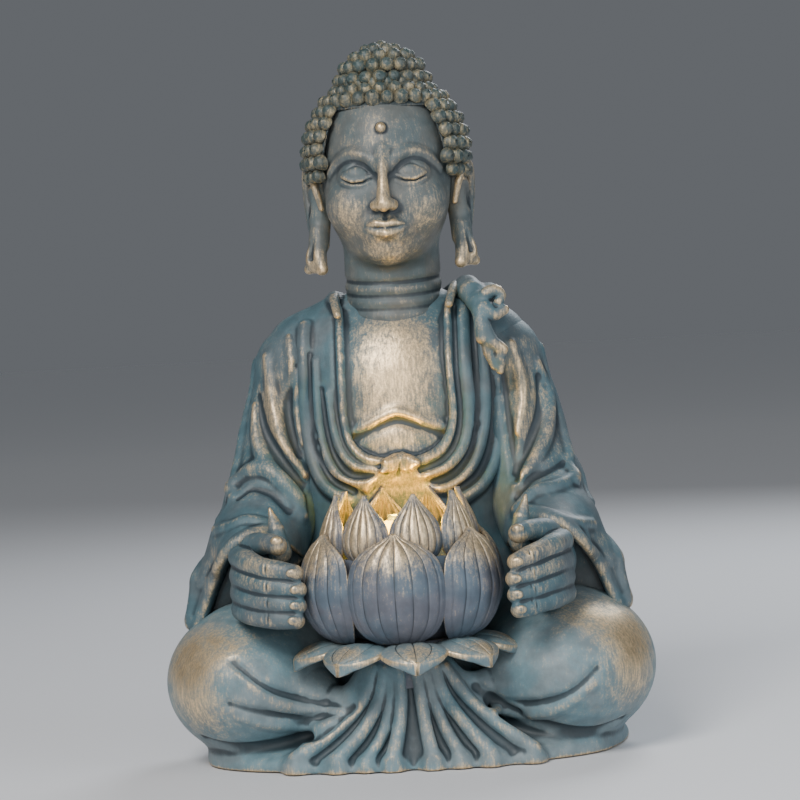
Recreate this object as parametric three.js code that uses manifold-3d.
// Tabletop water fountain: a seated robed figure, cast in hollow resin sections, holds a lotus bowl.
// A small pump stands in the bowl and lifts water up a riser to a bubbler with a warm light ring.
// Millimetres, +Z up, the figure faces -Y. Origin: centre of the bounding box, on the table.
import * as THREE from 'three';
import { mergeVertices } from 'three/addons/utils/BufferGeometryUtils.js';
import Module from 'manifold-3d';

const wasm = await Module();
wasm.setup();

// ---------------------------------------------------------------- driving dimensions
const HEIGHT = 400; // table to the top curl
const HALF_WIDTH = 137; // at the knees
const BODY_Y = 43; // axis of torso, neck and head
const LOTUS_Y = -41; // axis of the lotus bowl, pump and bubbler
const WALL = 7; // thickness of the hollow castings
const GAP = 0.3; // glue line between neighbouring pieces

const FOOT_H = 2.3; // rubber feet under the base plate
const HEM = { rx: 121, y: 19.5, ry: 83.5, top: 20 }; // back of the hem at y = 103
const KNEE = { x: 90, y: 0, z: 46, rx: HALF_WIDTH - 90, ry: 64, rz: 42 };
const BOWL = { r: 44, floor: 73, ledge: 106, rim: 116 };
const PLATE = { r: 31, hole: 13, t: 2.5, pitch: 22.5, drain: 2, fingerHole: 4.5 };
const PUMP = { x: 14, front: LOTUS_Y - 4, back: LOTUS_Y + 19, z0: 75.3, z1: 97, axisZ: 86 };
const RISER = { r: 6, bore: 4.2, top: 137 };
const LIGHT = { r: 12, z0: 118, z1: 127, lensTop: 134 };
const GLAND = { x: 20.5, y: LOTUS_Y + 8, r: 3.2, bore: 2.1 };
const LEAD_R = 1.8;
const LEAD_HOLE_R = 4; // in the lotus foot and the lower body
const PANEL = { x: 29.5, z0: 9, z1: 37, face: 98, t: 2 };
const SWITCH = { x: 14, z: 23, w: 5, h: 7.5 };
const INLET = { x: -14, z: 23, r: 4, bore: 2.9, pin: 0.9 };

// ---------------------------------------------------------------- finishes
const finish = (color, roughness, metalness = 0) =>
  new THREE.MeshStandardMaterial({ color, roughness, metalness });
const PATINA = finish('#4f6d7c', 0.55, 0.35);
const PETAL = finish('#6c7482', 0.5, 0.35);
const HAIR = finish('#4d5f5e', 0.5, 0.4);
const PLASTIC = finish('#1b1c1e', 0.5);
const RUBBER = finish('#26272a', 0.9);
const VINYL = finish('#c9d4d6', 0.25);
const LENS = finish('#ffd27a', 0.2);
const STEEL = finish('#b8bcc0', 0.35, 0.9);

// ---------------------------------------------------------------- solids
// A closed three.js geometry as a manifold-3d solid, with its seam and pole points merged.
function solid(geometry) {
  const bare = new THREE.BufferGeometry();
  bare.setAttribute('position', geometry.getAttribute('position'));
  bare.setIndex(geometry.index);
  const merged = mergeVertices(bare, 1e-4);
  const source = merged.index.array;
  const triangles = [];
  for (let i = 0; i < source.length; i += 3) {
    const [a, b, c] = [source[i], source[i + 1], source[i + 2]];
    if (a !== b && b !== c && c !== a) triangles.push(a, b, c);
  }
  return new wasm.Manifold(new wasm.Mesh({
    numProp: 3,
    vertProperties: merged.getAttribute('position').array,
    triVerts: new Uint32Array(triangles),
  }));
}

// Closed rings of points, one above or after the other, capped at both ends.
function ringSolid(rings) {
  const count = rings[0].length;
  const positions = rings.flat().flatMap((p) => [p.x, p.y, p.z]);
  const index = [];
  for (let r = 0; r + 1 < rings.length; r += 1) {
    for (let i = 0; i < count; i += 1) {
      const a = r * count + i;
      const b = r * count + ((i + 1) % count);
      index.push(a, b, a + count, b, b + count, a + count);
    }
  }
  const last = (rings.length - 1) * count;
  for (let i = 1; i + 1 < count; i += 1) {
    index.push(0, i + 1, i, last, last + i, last + i + 1);
  }
  const geometry = new THREE.BufferGeometry();
  geometry.setAttribute('position', new THREE.Float32BufferAttribute(positions, 3));
  geometry.setIndex(index);
  return solid(geometry);
}

// A level ring: an ellipse, or a squarer outline where power is over 2.
function levelRing(z, cx, cy, rx, ry, count = 24, power = 2) {
  const round = (c) => Math.sign(c) * Math.abs(c) ** (2 / power);
  return Array.from({ length: count }, (_, i) => {
    const a = (i / count) * Math.PI * 2;
    return new THREE.Vector3(cx + rx * round(Math.cos(a)), cy + ry * round(Math.sin(a)), z);
  });
}

// Stacked level rings from rows of [z, y, rx, ry].
const stack = (rows, grow = 0, count = 24, power = 2) =>
  ringSolid(rows.map(([z, y, rx, ry]) => levelRing(z, 0, y, rx + grow, ry + grow, count, power)));

function ellipsoid(x, y, z, rx, ry, rz, around = 20, down = 12) {
  const geometry = new THREE.SphereGeometry(1, around, down);
  geometry.rotateX(Math.PI / 2).scale(rx, ry, rz).translate(x, y, z);
  return solid(geometry);
}

// A limb: round sections along a smooth path through rows of [x, y, z, radius].
function limb(rows, grow = 0, steps = 8, sides = 12, squash = 1) {
  const path = new THREE.CatmullRomCurve3(rows.map(([x, y, z]) => new THREE.Vector3(x, y, z)));
  const radii = new THREE.CatmullRomCurve3(rows.map((row) => new THREE.Vector3(row[3], 0, 0)));
  const frames = path.computeFrenetFrames(steps, false);
  const rings = Array.from({ length: steps + 1 }, (_, s) => {
    const t = path.getUtoTmapping(s / steps);
    const centre = path.getPoint(t);
    const radius = radii.getPoint(t).x + grow;
    return Array.from({ length: sides }, (__, i) => {
      const a = (i / sides) * Math.PI * 2;
      return centre.clone()
        .addScaledVector(frames.normals[s], Math.cos(a) * radius * squash)
        .addScaledVector(frames.binormals[s], Math.sin(a) * radius);
    });
  });
  return ringSolid(rings);
}

// A turned piece about a vertical axis, from rows of [radius, z] that run up the outside.
function turned(rows, x, y, segments = 24) {
  const geometry = new THREE.LatheGeometry(rows.map(([r, z]) => new THREE.Vector2(r, z)), segments);
  geometry.rotateX(Math.PI / 2).translate(x, y, 0);
  return solid(geometry);
}

// A ring or tube about the lotus axis.
const tubeRing = (outer, inner, z0, z1) =>
  turned([[inner, z0], [outer, z0], [outer, z1], [inner, z1], [inner, z0]], 0, LOTUS_Y, 24);

// A plain cylinder that starts at a point and runs up ('z') or back ('y').
function rod(axis, x, y, z, length, radius, segments = 16) {
  const geometry = new THREE.CylinderGeometry(radius, radius, length, segments);
  geometry.translate(0, length / 2, 0);
  if (axis === 'z') geometry.rotateX(Math.PI / 2);
  geometry.translate(x, y, z);
  return solid(geometry);
}

function block(x0, x1, y0, y1, z0, z1) {
  const geometry = new THREE.BoxGeometry(x1 - x0, y1 - y0, z1 - z0);
  geometry.translate((x0 + x1) / 2, (y0 + y1) / 2, (z0 + z1) / 2);
  return solid(geometry);
}

const join = (...parts) => parts.reduce((a, b) => a.add(b));
const cut = (body, ...tools) => tools.reduce((a, b) => a.subtract(b), body);

// The largest piece of a solid, without any slivers that a cut left behind.
const mainBody = (body) =>
  body.decompose().reduce((a, b) => (b.volume() > a.volume() ? b : a));

// ---------------------------------------------------------------- exported pieces
const fountain = new THREE.Group();

function piece(name, body, material) {
  const made = mainBody(body).getMesh();
  const geometry = new THREE.BufferGeometry();
  geometry.setAttribute('position', new THREE.BufferAttribute(made.vertProperties, made.numProp));
  geometry.setIndex(new THREE.BufferAttribute(made.triVerts, 1));
  geometry.computeVertexNormals();
  const mesh = new THREE.Mesh(geometry, material);
  mesh.name = name;
  fountain.add(mesh);
  return mesh;
}

const SIDES = [['left', 1], ['right', -1]]; // the figure's own left is +X

// ---------------------------------------------------------------- forms of the castings
const hemRing = (z, inset) =>
  levelRing(z, 0, HEM.y, HEM.rx - inset, HEM.ry - inset, 24, 2.7);

function lowerForm(grow = 0) {
  const hem = ringSolid([
    hemRing(FOOT_H - 0.3, -grow), hemRing(HEM.top - 6, 1 - grow), hemRing(HEM.top + grow, 8 - grow),
  ]);
  const legs = SIDES.flatMap(([, s]) => [
    ellipsoid(s * KNEE.x, KNEE.y, KNEE.z, KNEE.rx + grow, KNEE.ry + grow, KNEE.rz + grow, 16, 10),
    limb([[s * 84, 2, 46, 36], [s * 45, 48, 52, 38]], grow, 1, 10),
    limb([[s * 84, -14, 38, 32], [s * 40, -34, 34, 25], [s * 8, -36, 30, 20]], grow, 3, 10),
  ]);
  const pelvis = ellipsoid(0, BODY_Y + 2, 50, 78 + grow, 50 + grow, 46 + grow, 16, 8);
  const skirt = limb([[0, -18, 36, 22], [0, -40, 20, 21]], grow, 1, 12, 1.9);
  return join(hem, ...legs, pelvis, skirt)
    .subtract(block(-200, 200, -200, 200, -60, FOOT_H - 0.3));
}

// The hollow inside the lower body, plainer than its outside.
const lowerRoom = () => join(
  ...SIDES.map(([, s]) => ellipsoid(s * 86, 2, 42, 40, 54, 35, 12, 6)),
  ellipsoid(0, BODY_Y + 2, 50, 78 - WALL, 50 - WALL, 46 - WALL, 12, 6),
  ellipsoid(0, 4, 20, 64, 46, 24, 12, 6),
);

const TORSO_ROWS = [
  [60, 44, 64, 52], [84, 44, 63, 48], [110, 44, 60, 43], [140, 43, 59, 42], [170, 42, 60, 46],
  [200, 42, 62, 47], [222, 43, 62, 43], [238, 43, 55, 38], [250, 43, 44, 33], [262, 43, 36, 29],
];
const torsoForm = (grow = 0) => stack(TORSO_ROWS, grow, 20);

// The robe's rolled edge, a U round the bare chest.
const COLLAR_HALF = [[33, 8, 246, 5], [33, -2, 214, 6.5], [23, -4, 180, 7.5]];
const collarForm = () => limb([
  ...COLLAR_HALF,
  [0, -5, 166, 8.5],
  ...COLLAR_HALF.map(([x, ...row]) => [-x, ...row]).reverse(),
], 0, 12, 6);

// Shoulder, upper arm, bent elbow and forearm in their sleeve, whose tail hangs over the thigh.
const armForm = (s, grow = 0) => join(
  ellipsoid(s * 50, 44, 231, 27 + grow, 27 + grow, 21 + grow, 12, 8),
  limb([[s * 49, 44, 230, 24], [s * 61, 45, 202, 24], [s * 70, 44, 168, 26],
    [s * 75, 36, 138, 28], [s * 78, 16, 120, 28], [s * 79, -6, 114, 25]], grow, 7, 12),
  limb([[s * 84, 26, 118, 24], [s * 96, 20, 98, 24], [s * 104, 12, 80, 22]], grow, 2, 12),
);

// The palm lies along the bowl, four fingers reach round to its front and the thumb rests on top.
function handForm(s, grow = 0) {
  const palm = ellipsoid(s * 76, -36, 101, 17 + grow, 25 + grow, 24 + grow, 12, 6);
  const wrist = limb([[s * 79, -2, 112, 17], [s * 78, -24, 106, 17]], grow, 1, 12);
  const fingers = [0, 1, 2, 3].map((i) => {
    const z = 114 - i * 10.5;
    const reach = 2 * Math.abs(i - 1.2);
    return limb([[s * 82, -44, z, 7], [s * 74, -66, z - 1, 6.5],
      [s * 58, -78 + reach, z - 1, 5.8], [s * 50, -82 + reach, z - 1, 4.8]], grow, 3, 6);
  });
  const thumb = limb([
    [s * 78, -34, 120, 8], [s * 71, -48, 123, 7.5], [s * 64, -62, 122, 6],
  ], grow, 2, 6);
  return join(palm, wrist, ...fingers, thumb);
}

const HEAD_ROWS = [
  [270, 36, 10, 22], [275, 35, 21, 30], [284, 35, 29, 37], [297, 36, 33.5, 41], [313, 37, 36, 43],
  [332, 38, 37.5, 44], [350, 39, 37, 44], [364, 40, 33, 40], [374, 41, 24, 30], [380, 42, 10, 14],
];
const NECK_ROWS = [[244, 40, 29, 29], [262, 40, 27, 27], [286, 41, 26, 27]];
const neckForm = (grow = 0) =>
  stack(NECK_ROWS.map(([z, ...row], i) => [i ? z : z - grow, ...row]), grow, 18);
const headForm = (grow = 0) => join(stack(HEAD_ROWS, grow, 18), neckForm(grow));

const hairForm = (grow = 0) => join(
  ellipsoid(0, 43, 336, 47 + grow, 50 + grow, 48 + grow, 18, 10),
  ellipsoid(0, 45, 376, 27 + grow, 28 + grow, HEIGHT - 376 + grow, 14, 8),
);

// A block as wide and high as the rear panel, grown on each edge, that runs out through the back.
const panelBlock = (grow, front) =>
  block(-PANEL.x - grow, PANEL.x + grow, front, 120, PANEL.z0 - grow, PANEL.z1 + grow);

// ---------------------------------------------------------------- castings
function lowerBody() {
  const boss = block(-36, 36, 78, PANEL.face + 1.5, 6, 41);
  const room = join(
    lowerRoom(),
    ringSolid([0, FOOT_H + 3.3].map((z) => hemRing(z, 8))), // seat of the base plate
    ringSolid([0, 15].map((z) => hemRing(z, 17))), // open mouth above it
    panelBlock(GAP, PANEL.face - PANEL.t - GAP), // pocket of the rear panel
    panelBlock(-4, 60), // window behind it
    rod('z', GLAND.x, GLAND.y, 10, 70, LEAD_HOLE_R),
  );
  piece('lower_body_casting', cut(join(lowerForm(), boss), room), PATINA);
}

function torso() {
  const inner = stack(TORSO_ROWS.filter(([z], i) => i % 2 === 0 && z < 240), -WALL, 14);
  const lotusRoom = turned([[0, 60], [47.5, 60], [47.5, 152], [0, 152]], 0, LOTUS_Y, 28);
  const neckSocket = neckForm(GAP);
  const outside = join(torsoForm(), collarForm());
  piece('torso_casting', cut(outside, inner, lowerForm(GAP), lotusRoom, neckSocket), PATINA);
}

function armsAndHands() {
  const grip = turned([[0, 50], [63.5, 50], [63.5, 72], [56, 76], [56, 140], [0, 140]], 0, LOTUS_Y, 32);
  for (const [side, s] of SIDES) {
    const neighbours = [torsoForm(GAP), lowerForm(GAP), handForm(s, GAP)];
    piece(`${side}_sleeve_casting`, cut(armForm(s), ...neighbours, grip), PATINA);
    piece(`${side}_hand`, cut(handForm(s), grip, lowerForm(GAP), torsoForm(GAP)), PATINA);
  }
}

function head() {
  const hollow = stack(HEAD_ROWS.slice(2, 8), -WALL, 14);
  const throat = rod('z', 0, 41, 230, 70, 17);
  const bead = ellipsoid(0, -4.5, 353, 3, 2.4, 3, 10, 6);
  piece('head_casting', cut(join(headForm(), bead), hollow, throat), PATINA);

  const arch = new THREE.Shape();
  arch.moveTo(-39.5, 250).lineTo(39.5, 250).lineTo(39.5, 334);
  arch.absellipse(0, 334, 39.5, 30, 0, Math.PI).lineTo(-39.5, 250);
  const opening = new THREE.ExtrudeGeometry(arch, { depth: 90, bevelEnabled: false, curveSegments: 10 });
  opening.rotateX(Math.PI / 2).translate(0, 34, 0);
  const nape = block(-60, 60, -60, 120, 250, 296);
  piece('hair_cap', cut(hairForm(), headForm(GAP), solid(opening), nape), HAIR);

  for (const [side, s] of SIDES) {
    const ear = limb([[s * 45, 42, 336, 6], [s * 50, 44, 320, 10], [s * 49, 43, 300, 8],
      [s * 45, 41, 282, 7], [s * 43.5, 40, 274, 5]], 0, 7, 10, 0.55);
    piece(`${side}_ear`, cut(ear, headForm(GAP), hairForm(GAP)), PATINA);
  }
}

// Robe end thrown over the left shoulder: a folded knot with a short tail down the chest.
function shoulderDrape() {
  const knot = limb([[46, 40, 262, 9], [56, 28, 254, 10], [57, 14, 240, 9], [53, 4, 222, 5]], 0, 7, 10);
  piece('shoulder_drape', cut(knot, torsoForm(GAP), armForm(1, GAP), headForm(GAP)), PATINA);
}

// ---------------------------------------------------------------- lotus
// One petal: a curved leaf from rows of [radius, z, half width]. A standing petal drops back
// at its edges towards the bowl's axis, and a flat one drops downwards.
function petal(rows, angle, thickness, edgeDrop, flat = false) {
  const across = 4;
  const widest = Math.max(...rows.map((row) => row[2]));
  const skin = (depth) => rows.map(([radius, z, half]) =>
    Array.from({ length: across + 1 }, (_, i) => {
      const u = (i / across) * 2 - 1;
      const sag = edgeDrop * u * u * (half / widest);
      const r = radius - (flat ? 0 : sag + depth);
      const a = angle + (u * half) / radius;
      return new THREE.Vector3(Math.sin(a) * r, LOTUS_Y - Math.cos(a) * r, z - (flat ? sag + depth : 0));
    }));
  const [outer, inner] = flat ? [skin(thickness), skin(0)] : [skin(0), skin(thickness)];
  return ringSolid(outer.map((row, k) => [...row, ...inner[k].slice().reverse()]));
}

const degrees = THREE.MathUtils.degToRad;
const OUTER_ROWS = [
  [40, 71, 8], [47, 77.5, 17], [52.5, 87, 24.5], [55, 98, 27], [54, 109, 25.5],
  [51, 119, 17], [48, 125, 7], [46, 128, 1.5],
];
const INNER_ROWS = [
  [40.5, 116.3, 9], [42, 122, 14.5], [42, 129, 15.5], [40.2, 137, 11.5], [37.6, 144, 5], [36, 149, 1.2],
];
const LOWER_ROWS = [[29, 69.4, 8], [40, 69.6, 13.6], [50, 68.4, 17], [58, 66, 13], [62.2, 64, 4]];

function lotus() {
  const foot = turned([[0, 44], [38, 44], [33, 52], [28, 60], [27.5, 69.8], [0, 69.8]], 0, LOTUS_Y, 28);
  const leadHole = rod('z', GLAND.x, GLAND.y, 40, 40, LEAD_HOLE_R);
  piece('lotus_foot', cut(foot, lowerForm(GAP), leadHole, torsoForm(GAP)), PETAL);

  const shell = turned([
    [0, 70.1], [24, 70.1], [31, 74], [38, 82], [43, 92], [BOWL.r, 104], [41, BOWL.rim], [37.5, BOWL.rim],
    [37.5, BOWL.ledge - 4], [40, 92], [35, 82], [28, BOWL.floor + 2], [25, BOWL.floor], [0, BOWL.floor],
  ], 0, LOTUS_Y, 24);
  piece('lotus_bowl', cut(shell, rod('z', GLAND.x, GLAND.y, 60, 20, GLAND.r + GAP)), PETAL);
  piece('plate_seat_ring', tubeRing(37.5 - GAP, 27.5, BOWL.ledge - 3.5, BOWL.ledge - 0.05), PETAL);

  [-1, 59, 119, 239, 299].forEach((angle, i) => {
    const leaf = petal(OUTER_ROWS, degrees(angle), 3.5, 4);
    piece(`outer_petal_${i + 1}`, cut(leaf, torsoForm(GAP)), PETAL);
  });
  for (let i = 0; i < 8; i += 1) {
    piece(`inner_petal_${i + 1}`, petal(INNER_ROWS, degrees(17 + 45 * i), 3.2, 2.5), PETAL);
  }
  [-74, -33, 8, 49, 90].forEach((angle, i) => {
    const leaf = petal(LOWER_ROWS, degrees(angle), 3, 2, true);
    piece(`lower_petal_${i + 1}`, cut(leaf, lowerForm(GAP)), PETAL);
  });
}

// ---------------------------------------------------------------- pump, riser and light
function pumpSet() {
  const yc = LOTUS_Y;
  const housing = join(
    block(-PUMP.x, PUMP.x, PUMP.front, PUMP.back, PUMP.z0, PUMP.z1),
    rod('z', 0, yc, PUMP.z1 - 1, 8, 4),
  );
  const chamber = rod('y', 0, PUMP.front - 1, PUMP.axisZ, 8.5, 8.6);
  const rotorWell = rod('y', 0, yc, PUMP.axisZ, 16, 4.8);
  const outlet = rod('z', 0, yc, PUMP.axisZ, 30, 2.4);
  piece('pump_housing', cut(housing, chamber, rotorWell, outlet), PLASTIC);

  const cover = block(-PUMP.x, PUMP.x, PUMP.front - 5, PUMP.front - GAP, PUMP.z0, PUMP.z1);
  const slots = [-11, -8, 8, 11].map((x) => block(x - 0.9, x + 0.9, yc - 20, yc, 79, 93.5));
  piece('pump_intake_cover', cut(cover, rod('y', 0, yc - 20, PUMP.axisZ, 40, 3), ...slots), PLASTIC);

  const blades = [0, 1, 2, 3, 4].map((i) => {
    const blade = new THREE.BoxGeometry(1, 4.5, 5.4).translate(0, 0, 4.7);
    blade.rotateY((i / 5) * Math.PI * 2).translate(0, PUMP.front + 4.2, PUMP.axisZ);
    return solid(blade);
  });
  const rotor = rod('y', 0, PUMP.front + 2, PUMP.axisZ, 16.5, 4.2, 16);
  piece('impeller', join(rotor, ...blades), PLASTIC);

  const dial = rod('y', 0, PUMP.front - 7.6, PUMP.axisZ, 2.3, 5.6);
  const spindle = rod('y', 0, PUMP.front - 6, PUMP.axisZ, 4.4, 2.6);
  const tab = block(-1.4, 1.4, PUMP.front - 7.6, PUMP.front - 5.3, PUMP.axisZ, PUMP.axisZ + 9);
  piece('flow_dial', join(dial, spindle, tab), PLASTIC);

  [[-10, 1], [10, 1], [-10, 14], [10, 14]].forEach(([x, y], i) =>
    piece(`pump_suction_foot_${i + 1}`,
      turned([[0, 73], [3.4, 73], [1.8, 74.4], [1.8, 75.3], [0, 75.3]], x, yc + y, 12), RUBBER));
}

function bubbler() {
  piece('riser_tube', tubeRing(RISER.r, RISER.bore, PUMP.z1 + GAP, RISER.top), VINYL);
  piece('light_ring_housing', tubeRing(LIGHT.r, RISER.r + GAP, LIGHT.z0, LIGHT.z1), PLASTIC);
  piece('light_ring_lens', turned([
    [RISER.r + GAP, LIGHT.z1], [LIGHT.r - 0.5, LIGHT.z1], [LIGHT.r - 1, LIGHT.z1 + 3],
    [LIGHT.r - 3, LIGHT.z1 + 6], [RISER.r + 1, LIGHT.lensTop], [RISER.r + GAP, LIGHT.lensTop],
    [RISER.r + GAP, LIGHT.z1],
  ], 0, LOTUS_Y, 24), LENS);

  const circle = (path, x, y, r) => path.absarc(x, y, r, 0, Math.PI * 2);
  const disc = circle(new THREE.Shape(), 0, 0, PLATE.r);
  disc.holes.push(circle(new THREE.Path(), 0, 0, PLATE.hole));
  for (let i = 0; i < 9; i += 1) {
    const a = (i / 9) * Math.PI * 2;
    const r = i ? PLATE.drain : PLATE.fingerHole;
    disc.holes.push(circle(new THREE.Path(), Math.sin(a) * PLATE.pitch, Math.cos(a) * PLATE.pitch, r));
  }
  const plate = new THREE.ExtrudeGeometry(disc, {
    depth: PLATE.t, bevelEnabled: false, curveSegments: 5,
  });
  plate.translate(0, LOTUS_Y, BOWL.ledge);
  piece('cover_plate', solid(plate), PLASTIC);
}

// ---------------------------------------------------------------- wiring, inlet and switch
function cable(points, radius, steps) {
  const section = new THREE.Shape();
  section.absarc(0, 0, radius, 0, Math.PI * 2);
  const path = new THREE.CatmullRomCurve3(points.map((p) => new THREE.Vector3(...p)));
  return solid(new THREE.ExtrudeGeometry(section, {
    steps, curveSegments: 4, bevelEnabled: false, extrudePath: path,
  }));
}

function wiring() {
  piece('bowl_gland', turned([
    [GLAND.bore, 67], [GLAND.r, 67], [GLAND.r, BOWL.floor], [GLAND.r - 0.2, 78], [GLAND.bore, 78],
    [GLAND.bore, 67],
  ], GLAND.x, GLAND.y, 16), RUBBER);
  piece('pump_lead', cable([
    [14.4, LOTUS_Y + 13, 88], [17.5, LOTUS_Y + 13, 88], [20.3, LOTUS_Y + 10, 85], [GLAND.x, GLAND.y, 79],
    [GLAND.x, GLAND.y, 66], [GLAND.x, GLAND.y, 44], [21, GLAND.y + 5, 26], [22, -5, 13], [22, 25, 10],
    [10, 52, 10], [-8, 66, 14], [INLET.x, 76, INLET.z], [INLET.x, 83.5, INLET.z],
  ], LEAD_R, 32), RUBBER);
}

// A block centred on the switch, from half its width and half its height.
const switchBlock = (halfWidth, halfHeight, front, back) => block(
  SWITCH.x - halfWidth, SWITCH.x + halfWidth, front, back,
  SWITCH.z - halfHeight, SWITCH.z + halfHeight,
);

function rearPanel() {
  const back = PANEL.face - PANEL.t;
  const plate = block(-PANEL.x, PANEL.x, back, PANEL.face, PANEL.z0, PANEL.z1);
  const switchHole = switchBlock(SWITCH.w + GAP, SWITCH.h + GAP, 80, 120);
  const inletHole = rod('y', INLET.x, 80, INLET.z, 40, INLET.r + GAP);
  piece('rear_panel', cut(plate, switchHole, inletHole), PLASTIC);

  const barrel = join(
    rod('y', INLET.x, 84, INLET.z, PANEL.face - 84, INLET.r),
    rod('y', INLET.x, PANEL.face, INLET.z, 1.8, 6),
  );
  const bore = rod('y', INLET.x, 88, INLET.z, 20, INLET.bore);
  const pin = rod('y', INLET.x, 87, INLET.z, 11.5, INLET.pin, 10);
  piece('power_inlet', join(cut(barrel, bore), pin), PLASTIC);
  const nut = rod('y', INLET.x, 92, INLET.z, 3.6, 6.6, 6);
  piece('inlet_nut', cut(nut, rod('y', INLET.x, 80, INLET.z, 30, INLET.r + 0.1)), STEEL);

  const shell = join(
    switchBlock(SWITCH.w, SWITCH.h, 84, PANEL.face),
    switchBlock(SWITCH.w + 1, SWITCH.h + 1.2, PANEL.face, PANEL.face + 1.4),
  );
  piece('switch_body', cut(shell, switchBlock(SWITCH.w - 1.1, SWITCH.h - 0.9, 92, 120)), PLASTIC);

  const rocker = new THREE.CylinderGeometry(5.9, 5.9, 7.2, 20, 1, false).rotateZ(Math.PI / 2);
  rocker.scale(1, 0.62, 1).rotateX(degrees(8)).translate(SWITCH.x, PANEL.face, SWITCH.z);
  piece('switch_rocker', solid(rocker), PLASTIC);
}

// ---------------------------------------------------------------- underside
function underside() {
  const plate = ringSolid([FOOT_H, FOOT_H + 3].map((z) => hemRing(z, 8.5)));
  const corners = [[-82, -26], [82, -26], [-82, 64], [82, 64]];
  const screws = [[-100, HEM.y], [100, HEM.y], [0, -50], [0, 90]];
  const holes = screws.map(([x, y]) => rod('z', x, y, 0, 8, 3.4));
  piece('base_plate', cut(plate, ...holes), PLASTIC);
  const footProfile = [[0, 0], [8.5, 0], [9, FOOT_H], [0, FOOT_H]];
  corners.forEach(([x, y], i) =>
    piece(`rubber_foot_${i + 1}`, turned(footProfile, x, y, 16), RUBBER));
  screws.forEach(([x, y], i) => {
    const screw = turned([[0, 2.6], [3, 2.6], [3, 4.2], [1.5, 5.2], [1.5, 5.5], [0, 5.5]], x, y, 12);
    piece(`base_screw_${i + 1}`, cut(screw, block(x - 2.4, x + 2.4, y - 0.4, y + 0.4, 2, 3.5)), STEEL);
  });
}

lowerBody();
torso();
armsAndHands();
head();
shoulderDrape();
lotus();
pumpSet();
bubbler();
wiring();
rearPanel();
underside();

export default fountain;
